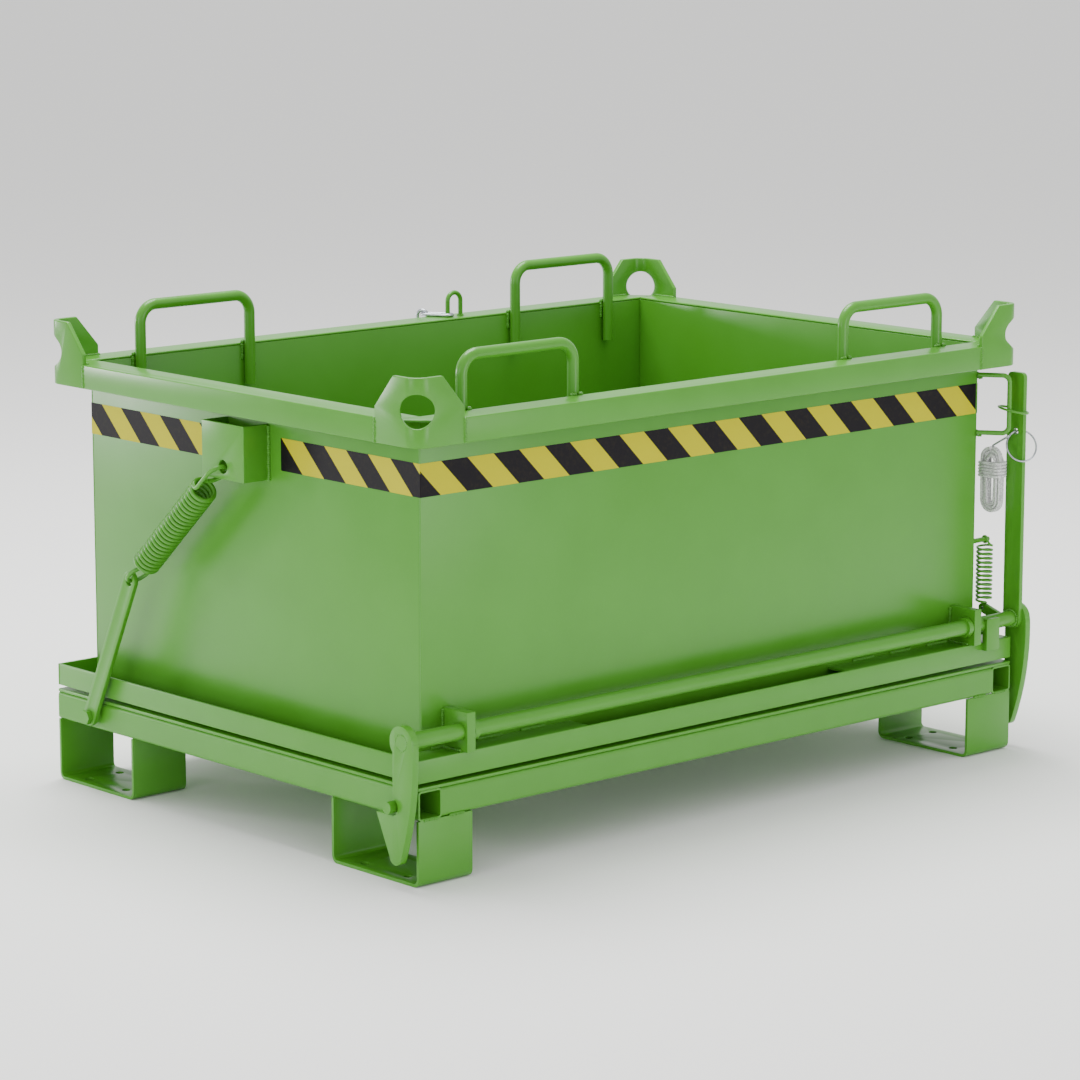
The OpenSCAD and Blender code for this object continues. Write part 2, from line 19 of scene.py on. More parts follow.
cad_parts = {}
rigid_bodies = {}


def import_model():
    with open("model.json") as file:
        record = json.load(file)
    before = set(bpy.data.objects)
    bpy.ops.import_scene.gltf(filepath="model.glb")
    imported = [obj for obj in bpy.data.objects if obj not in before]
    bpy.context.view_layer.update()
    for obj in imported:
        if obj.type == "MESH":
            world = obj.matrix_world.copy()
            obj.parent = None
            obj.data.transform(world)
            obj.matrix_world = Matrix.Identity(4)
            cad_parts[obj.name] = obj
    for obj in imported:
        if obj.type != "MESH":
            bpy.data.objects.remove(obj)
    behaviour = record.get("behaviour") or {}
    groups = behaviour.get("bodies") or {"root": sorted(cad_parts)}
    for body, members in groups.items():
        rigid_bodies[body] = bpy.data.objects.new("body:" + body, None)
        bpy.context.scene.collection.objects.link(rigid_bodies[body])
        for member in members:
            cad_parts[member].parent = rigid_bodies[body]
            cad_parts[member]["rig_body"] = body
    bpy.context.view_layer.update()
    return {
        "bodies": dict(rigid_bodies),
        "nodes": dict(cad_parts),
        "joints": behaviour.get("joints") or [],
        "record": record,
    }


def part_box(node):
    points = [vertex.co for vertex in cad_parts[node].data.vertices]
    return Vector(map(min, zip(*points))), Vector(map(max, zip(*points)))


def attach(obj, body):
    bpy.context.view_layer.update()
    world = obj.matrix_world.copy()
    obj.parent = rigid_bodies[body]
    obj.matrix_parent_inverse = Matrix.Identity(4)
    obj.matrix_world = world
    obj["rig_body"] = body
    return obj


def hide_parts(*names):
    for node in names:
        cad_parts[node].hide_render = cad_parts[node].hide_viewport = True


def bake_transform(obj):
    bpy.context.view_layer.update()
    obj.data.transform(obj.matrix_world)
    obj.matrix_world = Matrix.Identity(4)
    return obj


LOG = logging.getLogger("container")
MM = 0.001
Point = tuple[float, float, float]

# corners closer than these are one, for plates and for wire
MERGE = 0.01 * MM
WIRE_MERGE = 0.001 * MM
# faces that meet under FLAT are one face, and edges over SHARP are rounded
FLAT = math.radians(0.5)
SHARP = math.radians(40)
PLATE_SMOOTH = math.radians(32)
WIRE_SMOOTH = math.radians(50)


class Body(str, Enum):
    """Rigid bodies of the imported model."""

    CONTAINER = "container"
    FLAP = "flap"
    LATCH = "latch"
    ROPE = "rope"


class Slot(str, Enum):
    """Material slots of the record."""

    GREEN = "green_paint"
    ROPE = "rope"


# ---------------------------------------------------------------- finishes


def linear(hex_colour: str) -> tuple[float, float, float, float]:
    """Turns an sRGB hex colour to linear light.

    Args:
        hex_colour: Six hex digits, with or without a leading hash.

    Returns:
        Linear red, green and blue with an alpha of one.
    """
    digits = hex_colour.lstrip("#")
    parts = (int(digits[i:i + 2], 16) / 255 for i in (0, 2, 4))
    red, green, blue = (c / 12.92 if c <= 0.04045 else ((c + 0.055) / 1.055) ** 2.4 for c in parts)
    return red, green, blue, 1.0


def add_node(tree: bpy.types.NodeTree, kind: str, settings: dict | None = None,
             links: dict | None = None) -> bpy.types.Node:
    """Adds a shader node.

    Args:
        tree: Node tree that takes the node.
        kind: Node type without its ShaderNode prefix.
        settings: Attributes by name, or input values by their socket name or number.
        links: Output sockets that feed the inputs, by input name or number.

    Returns:
        The new node.
    """
    node = tree.nodes.new("ShaderNode" + kind)
    for key, value in (settings or {}).items():
        if isinstance(key, str) and hasattr(node, key):
            setattr(node, key, value)
        else:
            node.inputs[key].default_value = value
    for key, socket in (links or {}).items():
        tree.links.new(socket, node.inputs[key])
    return node


def per_metre(size_mm: float) -> float:
    """Texture scale that gives a pattern about size_mm across on Object coordinates."""
    return 1.0 / (size_mm * MM)


def new_material(name: str) -> tuple[bpy.types.Material, bpy.types.NodeTree, bpy.types.Node, bpy.types.Node]:
    """Starts a material with a Principled shader and Object coordinates.

    Args:
        name: Material name.

    Returns:
        The material, its tree, the shader node and the coordinate node.
    """
    material = bpy.data.materials.new(name)
    material.use_nodes = True
    tree = material.node_tree
    tree.nodes.clear()
    shader = add_node(tree, "BsdfPrincipled")
    add_node(tree, "OutputMaterial", links={"Surface": shader.outputs[0]})
    return material, tree, shader, add_node(tree, "TexCoord")


@dataclass(frozen=True)
class Enamel:
    """Two-pack machine enamel sprayed on sheet steel: smooth, semi-gloss, faintly uneven."""

    name: str = "sprayed_green_enamel"
    colour: str = "478c24"
    deep: str = "448820"
    dusty: str = "4e9130"
    roughness: float = 0.3
    peel_mm: float = 2.2
    wave_mm: float = 160.0
    cloud_mm: float = 90.0
    grit_mm: float = 5.0

    def make(self) -> bpy.types.Material:
        """Builds the enamel.

        Clouds of tone and gloss keep wide panels from looking flat, thin dust pales them in small
        patches, the spray's orange peel softens each highlight, and the sheet's ripple bends it.

        Returns:
            The material.
        """
        material, tree, shader, coords = new_material(self.name)
        place = coords.outputs["Object"]
        cloud = add_node(tree, "TexNoise",
                         {"Scale": per_metre(self.cloud_mm), "Detail": 2.0, "Roughness": 0.5},
                         {"Vector": place})
        tone = add_node(tree, "ValToRGB", links={"Fac": cloud.outputs["Fac"]})
        ramp = tone.color_ramp.elements
        ramp[0].position, ramp[0].color = 0.3, linear(self.deep)
        ramp[1].position, ramp[1].color = 0.72, linear(self.colour)
        # thin dust that settles in patches a few millimetres across
        grit = add_node(tree, "TexNoise",
                        {"Scale": per_metre(self.grit_mm), "Detail": 4.0, "Roughness": 0.7},
                        {"Vector": place})
        dust = add_node(tree, "MapRange",
                        {"From Min": 0.56, "From Max": 0.78, "To Min": 0.0, "To Max": 0.35},
                        {"Value": grit.outputs["Fac"]})
        colour = add_node(tree, "Mix", {"data_type": "RGBA", 7: linear(self.dusty)},
                          {0: dust.outputs["Result"], 6: tone.outputs["Color"]})
        rough = add_node(tree, "MapRange",
                         {"From Min": 0.3, "From Max": 0.7, "To Min": self.roughness - 0.02,
                          "To Max": self.roughness + 0.04}, {"Value": cloud.outputs["Fac"]})
        peel = add_node(tree, "TexNoise", {"Scale": per_metre(self.peel_mm), "Detail": 2.0},
                        {"Vector": place})
        wave = add_node(tree, "TexNoise", {"Scale": per_metre(self.wave_mm), "Detail": 1.0},
                        {"Vector": place})
        ripple = add_node(tree, "Bump", {"Strength": 0.2, "Distance": 1.0 * MM},
                          {"Height": wave.outputs["Fac"]})
        spray = add_node(tree, "Bump", {"Strength": 0.16, "Distance": 0.12 * MM},
                         {"Height": peel.outputs["Fac"], "Normal": ripple.outputs["Normal"]})
        shader.inputs["IOR"].default_value = 1.48
        shader.inputs["Specular IOR Level"].default_value = 0.42
        tree.links.new(colour.outputs[2], shader.inputs["Base Color"])
        tree.links.new(rough.outputs["Result"], shader.inputs["Roughness"])
        tree.links.new(spray.outputs["Normal"], shader.inputs["Normal"])
        return material


@dataclass(frozen=True)
class HazardTape:
    """Self-adhesive vinyl with 45 degree bands, printed yellow on black: satin, with fine creases."""

    name: str = "hazard_vinyl_tape"
    yellow: str = "b4ae00"
    black: str = "0b070e"
    pitch_mm: float = 101.6
    start_x_mm: float = -589.0
    start_y_mm: float = 311.0
    middle_z_mm: float = 592.0
    scuff_mm: float = 7.0
    scuffed: str = "776a2c"

    def make(self) -> bpy.types.Material:
        """Builds the tape: its bands run down to the right on each wall, seen from outside.

        Yellow and black meet in a hard printed edge, and scuffs dull the yellow a little.

        Returns:
            The material.
        """
        material, tree, shader, coords = new_material(self.name)
        place = add_node(tree, "SeparateXYZ", links={0: coords.outputs["Object"]})
        facing = add_node(tree, "SeparateXYZ", links={0: coords.outputs["Normal"]})
        x, y, z = place.outputs
        # distance to the right along the wall: -ny * x + nx * y
        along_x = add_node(tree, "Math", {"operation": "MULTIPLY"}, {0: facing.outputs[1], 1: x})
        along_y = add_node(tree, "Math", {"operation": "MULTIPLY"}, {0: facing.outputs[0], 1: y})
        right = add_node(tree, "Math", {"operation": "SUBTRACT"},
                         {0: along_y.outputs[0], 1: along_x.outputs[0]})
        slant = add_node(tree, "Math", {"operation": "ADD"}, {0: right.outputs[0], 1: z})
        # the end walls carry two strips, and the one behind the bracket starts half a pitch later
        on_end = add_node(tree, "Math", {"operation": "ABSOLUTE"}, {0: facing.outputs[0]})
        behind = add_node(tree, "Math", {"operation": "GREATER_THAN", 1: 0.0}, {0: y})
        late = add_node(tree, "Math", {"operation": "MULTIPLY_ADD", 1: 0.5 * self.pitch_mm * MM,
                                       2: (self.start_y_mm - self.start_x_mm) * MM}, {0: behind.outputs[0]})
        shift = add_node(tree, "Math", {"operation": "MULTIPLY"},
                         {0: on_end.outputs[0], 1: late.outputs[0]})
        origin = (self.start_x_mm + self.middle_z_mm) * MM
        start = add_node(tree, "Math", {"operation": "ADD", 1: origin}, {0: shift.outputs[0]})
        travel = add_node(tree, "Math", {"operation": "SUBTRACT"},
                          {0: slant.outputs[0], 1: start.outputs[0]})
        turns = add_node(tree, "Math", {"operation": "DIVIDE", 1: self.pitch_mm * MM},
                         {0: travel.outputs[0]})
        phase = add_node(tree, "Math", {"operation": "FRACT"}, {0: turns.outputs[0]})
        band = add_node(tree, "ValToRGB", links={"Fac": phase.outputs[0]})
        ramp = band.color_ramp
        ramp.interpolation = "CONSTANT"
        ramp.elements[0].color = linear(self.yellow)
        ramp.elements[1].position, ramp.elements[1].color = 0.5, linear(self.black)
        scuff = add_node(tree, "TexNoise",
                         {"Scale": per_metre(self.scuff_mm), "Detail": 5.0, "Roughness": 0.75},
                         {"Vector": coords.outputs["Object"]})
        worn = add_node(tree, "MapRange", {"From Min": 0.5, "From Max": 0.8, "To Min": 0.0, "To Max": 0.07},
                        {"Value": scuff.outputs["Fac"]})
        colour = add_node(tree, "Mix", {"data_type": "RGBA", 7: linear(self.scuffed)},
                          {0: worn.outputs["Result"], 6: band.outputs["Color"]})
        crease = add_node(tree, "Bump", {"Strength": 0.2, "Distance": 0.1 * MM},
                          {"Height": scuff.outputs["Fac"]})
        shader.inputs["IOR"].default_value = 1.46
        shader.inputs["Specular IOR Level"].default_value = 0.15
        shader.inputs["Roughness"].default_value = 0.42
        tree.links.new(colour.outputs[2], shader.inputs["Base Color"])
        tree.links.new(crease.outputs["Normal"], shader.inputs["Normal"])
        return material


@dataclass(frozen=True)
class ZincPlate:
    """Zinc-plated steel wire: bright, bluish, with the soft cloudy spangle of the bath."""

    name: str = "zinc_plated_steel"
    light: str = "c3c7cc"
    dark: str = "8b9096"
    spangle_mm: float = 3.0

    def make(self) -> bpy.types.Material:
        """Builds the plating: its cloudy spangle makes the glint uneven, from sharp to soft.

        Returns:
            The material.
        """
        material, tree, shader, coords = new_material(self.name)
        cloud = add_node(tree, "TexNoise", {"Scale": per_metre(self.spangle_mm), "Detail": 3.0},
                         {"Vector": coords.outputs["Object"]})
        tone = add_node(tree, "Mix", {"data_type": "RGBA", 6: linear(self.dark), 7: linear(self.light)},
                        {0: cloud.outputs["Fac"]})
        rough = add_node(tree, "MapRange", {"To Min": 0.2, "To Max": 0.42}, {"Value": cloud.outputs["Fac"]})
        grain = add_node(tree, "Bump", {"Strength": 0.1, "Distance": 0.05 * MM},
                         {"Height": cloud.outputs["Fac"]})
        shader.inputs["Metallic"].default_value = 1.0
        tree.links.new(tone.outputs[2], shader.inputs["Base Color"])
        tree.links.new(rough.outputs["Result"], shader.inputs["Roughness"])
        tree.links.new(grain.outputs["Normal"], shader.inputs["Normal"])
        return material


@dataclass(frozen=True)
class BraidedRope:
    """Braided polypropylene cord: white, dull, with small crossing strands and painted grey shade between them.
    """

    name: str = "white_braided_cord"
    strand: str = "f1f1ef"
    # grey of the painted shade in the grooves between strands
    groove_shade: str = "a9a9ab"
    strand_mm: float = 2.4

    def make(self) -> bpy.types.Material:
        """Builds the cord: cells one strand wide give it a pebbled, dull surface, with shade painted grey into
        the grooves.

        Returns:
            The material.
        """
        material, tree, shader, coords = new_material(self.name)
        cells = add_node(tree, "TexVoronoi", {"Scale": per_metre(self.strand_mm), "Randomness": 0.45},
                         {"Vector": coords.outputs["Object"]})
        # painted shade: cell edges, where the strands dip, are mixed towards grey
        groove_shade = add_node(tree, "MapRange", {"From Min": 0.25, "From Max": 0.75},
                          {"Value": cells.outputs["Distance"]})
        tone = add_node(tree, "Mix", {"data_type": "RGBA", 6: linear(self.strand), 7: linear(self.groove_shade)},
                        {0: groove_shade.outputs["Result"]})
        rise = add_node(tree, "Bump", {"Strength": 0.9, "Distance": 0.7 * MM, "invert": True},
                        {"Height": cells.outputs["Distance"]})
        shader.inputs["Roughness"].default_value = 0.82
        shader.inputs["Sheen Weight"].default_value = 0.25
        tree.links.new(tone.outputs[2], shader.inputs["Base Color"])
        tree.links.new(rise.outputs["Normal"], shader.inputs["Normal"])
        return material


@dataclass(frozen=True)
class StudioPaper:
    """Seamless white paper under the object: matt and even."""

    name: str = "studio_paper"
    colour: str = "f4f4f2"
    fibre_mm: float = 4.0

    def make(self) -> bpy.types.Material:
        """Builds the paper: a faint fibre keeps it matt, so the floor shows soft shadow only.

        Returns:
            The material.
        """
        material, tree, shader, coords = new_material(self.name)
        fibre = add_node(tree, "TexNoise", {"Scale": per_metre(self.fibre_mm)},
                         {"Vector": coords.outputs["Object"]})
        bump = add_node(tree, "Bump", {"Strength": 0.03, "Distance": 0.1 * MM},
                        {"Height": fibre.outputs["Fac"]})
        shader.inputs["Base Color"].default_value = linear(self.colour)
        shader.inputs["Roughness"].default_value = 0.9
        tree.links.new(bump.outputs["Normal"], shader.inputs["Normal"])
        return material


# ---------------------------------------------------------------- modelling helpers


def box_mm(node: str) -> tuple[Vector, Vector]:
    """Measures a CAD node's box.

    Args:
        node: Name of the node.

    Returns:
        Its low and high corner, in millimetres.
    """
    low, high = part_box(node)
    return low / MM, high / MM


def line_curve(name: str, points: list[Vector], diameter: float, resolution: int) -> bpy.types.Object:
    """Draws a round line through points, as one open spline.

    Args:
        name: Name of the piece.
        points: Centre line in metres.
        diameter: Thickness in metres.
        resolution: Steps added to the round section.

    Returns:
        The curve, linked to the scene.
    """
    curve = bpy.data.curves.new(name, "CURVE")
    curve.dimensions = "3D"
    curve.bevel_depth = diameter / 2
    curve.bevel_resolution = resolution
    curve.use_fill_caps = True
    spline = curve.splines.new("POLY")
    spline.points.add(len(points) - 1)
    for spot, point in zip(spline.points, points):
        spot.co = (*point, 1.0)
    piece = bpy.data.objects.new(name, curve)
    bpy.context.scene.collection.objects.link(piece)
    return piece


def deselect() -> None:
    """Leaves nothing selected, in object mode."""
    if bpy.context.object and bpy.context.object.mode != "OBJECT":
        bpy.ops.object.mode_set(mode="OBJECT")
    bpy.ops.object.select_all(action="DESELECT")


def activate(piece: bpy.types.Object) -> None:
    """Selects one piece alone and makes it the active one."""
    deselect()
    piece.select_set(True)
    bpy.context.view_layer.objects.active = piece


def settle(piece: bpy.types.Object, name: str) -> bpy.types.Object:
    """Names a piece and moves its place, turn and size into its mesh.

    Args:
        piece: Piece to settle.
        name: Name for it and its mesh.

    Returns:
        The same piece.
    """
    activate(piece)
    piece.name = piece.data.name = name
    bpy.ops.object.transform_apply(location=True, rotation=True, scale=True)
    return piece


def dress(piece: bpy.types.Object, finish: bpy.types.Material) -> None:
    """Gives a piece one finish.

    Args:
        piece: Piece to dress.
        finish: Its only material.
    """
    piece.data.materials.clear()
    piece.data.materials.append(finish)


def apply_modifier(piece: bpy.types.Object, kind: str, **settings: object) -> None:
    """Adds one modifier to the active piece, sets it and applies it.

    Args:
        piece: Active piece.
        kind: Type of the modifier.
        **settings: Its settings by name.
    """
    modifier = piece.modifiers.new(kind.lower(), kind)
    for key, value in settings.items():
        setattr(modifier, key, value)
    bpy.ops.object.modifier_apply(modifier=modifier.name)


def eased_copy(node: bpy.types.Object, edge_mm: float, segments: int) -> bpy.types.Object:
    """Copies a CAD node and rounds its sharp edges, as cut and dressed plate has.

    Args:
        node: CAD node, which stays as it is.
        edge_mm: Width of the rounding.
        segments: Faces across the rounding.

    Returns:
        The copy, with clean faces and smooth rounded edges.
    """
    piece = node.copy()
    piece.data = node.data.copy()
    bpy.context.scene.collection.objects.link(piece)
    piece.parent = None
    piece.matrix_world = Matrix.Identity(4)
    for key in list(piece.keys()):
        del piece[key]
    piece.name = piece.data.name = node.name + "_eased"
    activate(piece)
    bpy.ops.mesh.customdata_custom_splitnormals_clear()
    bpy.ops.object.mode_set(mode="EDIT")
    bpy.ops.mesh.select_all(action="SELECT")
    bpy.ops.mesh.remove_doubles(threshold=MERGE)
    bpy.ops.mesh.dissolve_limited(angle_limit=FLAT)
    bpy.ops.object.mode_set(mode="OBJECT")
    apply_modifier(piece, "BEVEL", width=edge_mm * MM, segments=segments, limit_method="ANGLE",
                   angle_limit=SHARP, miter_outer="MITER_ARC")
    bpy.ops.object.shade_smooth_by_angle(angle=PLATE_SMOOTH)
    return piece


def wire_piece(name: str, points: list[Vector], diameter: float, sides: int = 12) -> bpy.types.Object:
    """Draws round wire along a centre line and turns it to a closed mesh.

    Args:
        name: Piece name.
        points: Centre line in metres.
        diameter: Wire diameter in metres.
        sides: Sides of the wire's section.

    Returns:
        The finished mesh piece.
    """
    piece = line_curve(name, points, diameter, max(0, sides // 4 - 1))
    activate(piece)
    bpy.ops.object.convert(target="MESH")
    piece = bpy.context.object
    bpy.ops.object.mode_set(mode="EDIT")
    bpy.ops.mesh.select_all(action="SELECT")
    bpy.ops.mesh.remove_doubles(threshold=WIRE_MERGE)
    bpy.ops.mesh.normals_make_consistent(inside=False)
    bpy.ops.object.mode_set(mode="OBJECT")
    bpy.ops.object.shade_smooth_by_angle(angle=WIRE_SMOOTH)
    return piece


def soften(points: list[Vector], corners: list[int], reach: int, passes: int) -> list[Vector]:
    """Rounds a centre line near its sharp corners.

    Args:
        points: Centre line, evenly spaced.
        corners: Numbers of the corner points.
        reach: Points on each side of a corner that move.
        passes: Times that each of them is drawn to its neighbours.

    Returns:
        The softened centre line.
    """
    line = [p.copy() for p in points]
    near = sorted({i for c in corners for i in range(c - reach, c + reach + 1) if 0 < i < len(line) - 1})
    for _ in range(passes):
        moved = {i: (line[i - 1] + 2 * line[i] + line[i + 1]) / 4 for i in near}
        for i, point in moved.items():
            line[i] = point
    return line


def even_steps(points: list[Vector], step: float) -> list[Vector]:
    """Places points at even steps along a broken line.

    Args:
        points: Corners of the line.
        step: Distance between two points.

    Returns:
        The new points, from the line's first one.
    """
    out = [points[0].copy()]
    carry = 0.0
    for a, b in zip(points, points[1:]):
        length = (b - a).length
        at = step - carry
        while at <= length:
            out.append(a.lerp(b, at / length))
            at += step
        carry = (carry + length) % step if length else carry
    return out


# ---------------------------------------------------------------- painted plates


@dataclass
class PaintedSteel:
    """All painted steel nodes: plates with eased edges, and round bars as the CAD gives them."""

    frame: dict
    finish: bpy.types.Material
    edges_mm: dict[str, float] = field(default_factory=lambda: {
        "rim_": 2.2, "lug_": 1.6, "frame_": 1.4, "gutter_plates": 1.2, "bracket_": 1.4,
        "bearing_plates": 1.0, "floor_plate": 1.2, "foot_": 1.4, "hook_": 1.4, "lever_bar": 1.6,
        "arm_left": 1.2, "arm_right": 1.2, "wall_": 1.0, "latch_tabs": 1.0})

    def edge_of(self, name: str) -> float | None:
        """Looks up how far a node's edges are rounded.

        Args:
            name: Name of the node.

        Returns:
            Width of the rounding in millimetres, or None where the node keeps its CAD mesh.
        """
        if name == "lever":
            return self.edges_mm["lever_bar"]
        return next((w for key, w in self.edges_mm.items() if name.startswith(key)), None)

    def build(self, others: set[str]) -> int:
        """Rounds and paints each painted node.

        Args:
            others: Nodes with another finish or their own pieces.

        Returns:
            Number of nodes painted.
        """
        count = 0
        for name, node in self.frame["nodes"].items():
            if name in others:
                continue
            edge = self.edge_of(name)
            if edge is None:
                node.data.materials.clear()
                node.data.materials.append(self.finish)
            else:
                body = node["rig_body"]
                piece = eased_copy(node, edge, 3)
                dress(piece, self.finish)
                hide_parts(name)
                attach(piece, body)
            count += 1
        return count


# ---------------------------------------------------------------- weld seams


@dataclass
class WeldSeams:
    """Rippled fillet welds, laid as rows of overlapping drops and painted with the steel."""

    finish: bpy.types.Material
    step: float = 2.8 * MM
    ring_steps: int = 48
    drops: dict[str, list[bpy.types.Object]] = field(default_factory=dict)
    chance: random.Random = field(default_factory=lambda: random.Random(11))
    drop: bpy.types.Object | None = None

    def model_drop(self) -> None:
        """Models one drop: a small sphere with its top pressed flatter."""
        deselect()
        bpy.ops.mesh.primitive_uv_sphere_add(segments=9, ring_count=6, radius=0.5)
        self.drop = bpy.context.object
        bpy.ops.object.mode_set(mode="EDIT")
        bpy.ops.mesh.select_all(action="SELECT")
        bpy.ops.transform.resize(value=(1.0, 1.0, 0.8))
        bpy.ops.object.mode_set(mode="OBJECT")
        bpy.ops.object.shade_smooth()
        self.drop.hide_render = True

    def lay(self, body: Body, points: list[Point], width_mm: float = 6.0) -> None:
        """Lays one seam.

        Args:
            body: Body that carries the seam.
            points: Its line, in millimetres.
            width_mm: Width of the bead.
        """
        line = even_steps([Vector(p) * MM for p in points], self.step)
        row = self.drops.setdefault(body.value, [])
        for i, point in enumerate(line):
            ahead = (line[min(i + 1, len(line) - 1)] - line[max(i - 1, 0)]).normalized()
            copy = self.drop.copy()
            copy.data = self.drop.data.copy()
            copy.hide_render = False
            bpy.context.scene.collection.objects.link(copy)
            size = width_mm * MM * self.chance.uniform(0.88, 1.12)
            turn = Vector((0, 0, 1)).rotation_difference(ahead).to_matrix().to_4x4()
            stretch = Matrix.Diagonal((size, size, size * 0.85, 1))
            jitter = Vector(self.chance.uniform(-0.25, 0.25) * MM for _ in range(3))
            copy.matrix_world = Matrix.Translation(point + jitter) @ turn @ stretch
            row.append(copy)

    def ring(self, body: Body, centre: Point, radius: float, normal: str, width_mm: float = 5.0) -> None:
        """Lays a seam round a bar.

        Args:
            body: Body that carries the seam.
            centre: Middle of the ring, in millimetres.
            radius: Its radius, in millimetres.
            normal: Axis of the bar, X or Z.
            width_mm: Width of the bead.
        """
        points = []
        for i in range(self.ring_steps + 1):
            a = math.tau * i / self.ring_steps
            u, v = radius * math.cos(a), radius * math.sin(a)
            offset = (0.0, u, v) if normal == "X" else (u, v, 0.0)
            points.append(tuple(c + o for c, o in zip(centre, offset)))
        self.lay(body, points, width_mm)

    def finish_seams(self) -> None:
        """Joins each body's drops to one piece and paints it."""
        for body, row in self.drops.items():
            deselect()
            for drop in row:
                drop.select_set(True)
            bpy.context.view_layer.objects.active = row[0]
            bpy.ops.object.join()
            piece = settle(bpy.context.object, "weld_seams_" + body)
            dress(piece, self.finish)
            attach(piece, body)
            LOG.info("weld seams on %s: %d drops", body, len(row))
        bpy.data.objects.remove(self.drop)


# ---------------------------------------------------------------- springs


@dataclass
class ClosingSpring:
    """Extension spring at one end of the box, with a loop at each end."""

    side: str
    finish: bpy.types.Material
    axis_x: float = 0.654
    top: Vector = field(default_factory=lambda: Vector((0.0, 0.568)))
    lean: float = math.radians(47.9)
    radius: float = 18.5 * MM
    wire: float = 7.0 * MM
    top_centre: float = 17.87 * MM
    low_centre: float = 0.2922
    coil_start: float = 53.1 * MM
    coil_end: float = 0.2692
    turns: int = 23
    step: float = 2.4 * MM

    def place(self, x: float, across: float, along: float) -> Vector:
        """Places one point of the spring.

        Args:
            x: Distance out from the spring's plane.
            across: Distance across its axis.
            along: Distance along its axis from the upper hole.

        Returns:
            The point in the object's frame.
        """
        sign = -1.0 if self.side == "left" else 1.0
        y = self.top.x + along * math.sin(self.lean) + across * math.cos(self.lean)
        z = self.top.y - along * math.cos(self.lean) + across * math.sin(self.lean)
        return Vector((sign * (self.axis_x - x), y, z))

    def centre_line(self) -> tuple[list[Vector], list[int]]:
        """Centre line from the upper loop's free end to the lower one's.

        Returns:
            The points and the numbers of the corners.
        """
        r = self.radius
        points: list[Vector] = []
        corners: list[int] = []
        arc = [math.radians(a) for a in range(318, -1, -7)]
        points += [self.place(-r * math.cos(a), 0.0, self.top_centre - r * math.sin(a)) for a in arc]
        first = self.coil_start + self.wire / 2
        last = self.coil_end - self.wire / 2
        count = max(2, round((first - self.top_centre) / self.step))
        points += [self.place(-r, 0.0, self.top_centre + (first - self.top_centre) * i / count)
                   for i in range(1, count)]
        corners.append(len(points))
        total = self.turns + 0.5
        steps = round(total * math.tau * r / self.step)
        turned = [math.tau * total * i / steps for i in range(steps + 1)]
        points += [self.place(-r * math.cos(a), r * math.sin(a), first + (last - first) * i / steps)
                   for i, a in enumerate(turned)]
        corners.append(len(points) - 1)
        count = max(2, round((self.low_centre - last) / self.step))
        points += [self.place(r, 0.0, last + (self.low_centre - last) * i / count) for i in range(1, count + 1)]
        points += [self.place(r * math.cos(a), 0.0, self.low_centre + r * math.sin(a))
                   for a in (math.radians(b) for b in range(7, 319, 7))]
        return points, corners

    def build(self) -> None:
        """Winds the spring, paints it and hides the CAD spring with its tail."""
        points, corners = self.centre_line()
        piece = wire_piece("closing_spring_" + self.side, soften(points, corners, 4, 8), self.wire)
        dress(piece, self.finish)
        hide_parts("spring_" + self.side, "spring_tail_" + self.side)
        self.place(0, 0, self.coil_start)
        self.place(0, 0, self.coil_end)
        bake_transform(piece)
        LOG.info("closing spring %s: %d points", self.side, len(points))


@dataclass
class ReturnSpring:
    """Thin open spring that pulls the latch shut, from a post on the right wall to a small arm."""

    finish: bpy.types.Material
    wire: float = 4.2 * MM
    turns: int = 13
    tail: float = 7.0 * MM
    step: float = 1.8 * MM
    arm_hook: float = 5.5 * MM
    neck: float = 2.0 * MM
    neck_share: float = 0.6

    def build(self) -> None:
        """Winds the spring inside its CAD node, with a hook over the post and one in the arm."""
        low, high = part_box("return_coil")
        axis = (low + high) / 2
        r = (high.x - low.x - self.wire) / 2
        z1, z0 = high.z - self.wire / 2, low.z + self.wire / 2
        post_low, post_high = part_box("return_post")
        hook_r = (post_high.z - post_low.z - self.wire) / 2
        hook_z = (post_low.z + post_high.z) / 2
        points: list[Vector] = []
        for turn in map(math.radians, range(-60, 181, 12)):
            points.append(Vector((axis.x, axis.y + hook_r * math.cos(turn), hook_z + hook_r * math.sin(turn))))
        points.append(Vector((axis.x, axis.y - hook_r * self.neck_share, z1 + self.neck)))
        corner_a = len(points)
        steps = round(self.turns * math.tau * r / self.step)
        for i in range(steps + 1):
            turn = math.tau * self.turns * i / steps - math.pi / 2
            points.append(Vector((axis.x + r * math.cos(turn), axis.y + r * math.sin(turn),
                                  z1 + (z0 - z1) * i / steps)))
        corner_b = len(points) - 1
        drop = z0 - self.tail
        for turn in map(math.radians, range(180, 421, 15)):
            points.append(Vector((axis.x + self.arm_hook * math.cos(turn), axis.y,
                                  drop - self.arm_hook * math.sin(turn))))
        piece = wire_piece("return_spring", soften(points, [corner_a, corner_b], 5, 10), self.wire, sides=8)
        dress(piece, self.finish)
        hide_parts("return_coil")
        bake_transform(piece)
        LOG.info("return spring: %d points", len(points))


# ---------------------------------------------------------------- rope


